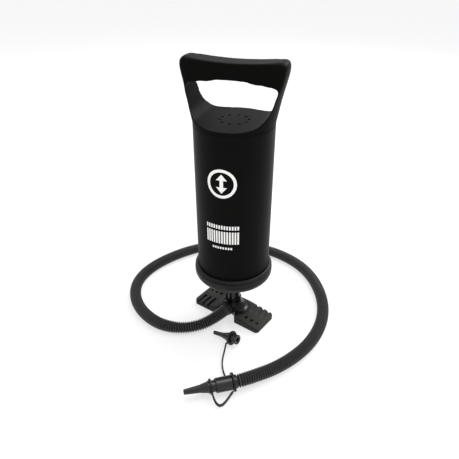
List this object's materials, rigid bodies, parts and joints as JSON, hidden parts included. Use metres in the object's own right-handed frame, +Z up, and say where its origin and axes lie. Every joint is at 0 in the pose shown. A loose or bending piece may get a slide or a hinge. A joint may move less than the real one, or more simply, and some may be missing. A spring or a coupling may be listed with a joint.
{
  "type": "double action hand pump",
  "caption": "Upright hand air pump: a barrel with a D handle slides on a hollow shaft fixed to a tread foot, with a corrugated hose, a tapered nozzle and a spare nozzle on a tether.",
  "frame": {"origin": "on the shaft's axis, at the underside of the foot, with the barrel pushed right down", "axes": "+Z up along the shaft, +X along the foot's two pads, -Y towards the side where the hose leaves the foot"},
  "size_m": [0.2548, 0.2733, 0.2992],
  "materials": {
    "satin_black_abs": "satin moulded ABS",
    "soft_black_pp": "matte moulded polypropylene",
    "gloss_black_abs": "polished extruded ABS",
    "hose_pvc": "corrugated flexible plastic",
    "tether_pvc": "soft moulded PVC",
    "seal_rubber": "matte nitrile rubber",
    "white_acetal": "natural moulded acetal",
    "zinc_steel": "zinc-plated screw steel",
    "print_white": "screen-printed white ink"
  },
  "bodies": {
    "base": {"foot": "soft_black_pp", "shaft": "gloss_black_abs", "shaft_base_o_ring": "seal_rubber", "piston_body": "white_acetal", "piston_nut": "white_acetal", "piston_seal": "seal_rubber", "piston_lid": "white_acetal", "piston_screw_1": "zinc_steel", "piston_screw_2": "zinc_steel", "piston_screw_3": "zinc_steel", "delivery_retainer": "white_acetal", "hose_port_cuff": "hose_pvc", "hose": "hose_pvc", "hose_adaptor": "soft_black_pp", "tether_ring": "tether_pvc", "tether_strap": "tether_pvc", "nozzle_ring": "tether_pvc", "nozzle": "soft_black_pp", "spare_strap": "tether_pvc", "spare_ring": "tether_pvc", "spare_nozzle": "soft_black_pp"},
    "shaft_guide": {"shaft_bush": "white_acetal", "shaft_lip_seal": "seal_rubber"},
    "barrel": {"barrel_tube": "satin_black_abs", "handle_cap": "soft_black_pp", "cap_o_ring": "seal_rubber", "intake_retainer": "white_acetal", "lock_ring": "satin_black_abs", "bottom_cap": "satin_black_abs", "barrel_o_ring": "seal_rubber", "bush_retainer": "white_acetal"},
    "intake_flap_top": {"upper_intake_disc": "seal_rubber"},
    "intake_flap_bottom": {"lower_intake_disc": "seal_rubber"},
    "delivery_flap_top": {"upper_delivery_disc": "seal_rubber"},
    "delivery_flap_bottom": {"lower_delivery_disc": "seal_rubber"}
  },
  "joints": [
    {"name": "barrel_slide", "type": "slide", "parent": "base", "child": "shaft_guide", "axis": [0, 0, 1], "range_m": [0, 0.134]},
    {"name": "barrel_turn", "type": "hinge", "parent": "shaft_guide", "child": "barrel", "pos_m": [0, 0, 0.15], "axis": [0, 0, 1], "continuous": true},
    {"name": "intake_top_lift", "type": "slide", "parent": "barrel", "child": "intake_flap_top", "axis": [0, 0, 1], "range_m": [0, 0.002]},
    {"name": "intake_bottom_lift", "type": "slide", "parent": "barrel", "child": "intake_flap_bottom", "axis": [0, 0, 1], "range_m": [0, 0.002]},
    {"name": "delivery_top_lift", "type": "slide", "parent": "base", "child": "delivery_flap_top", "axis": [0, 0, 1], "range_m": [0, 0.002]},
    {"name": "delivery_bottom_lift", "type": "slide", "parent": "base", "child": "delivery_flap_bottom", "axis": [0, 0, 1], "range_m": [0, 0.002]}
  ]
}
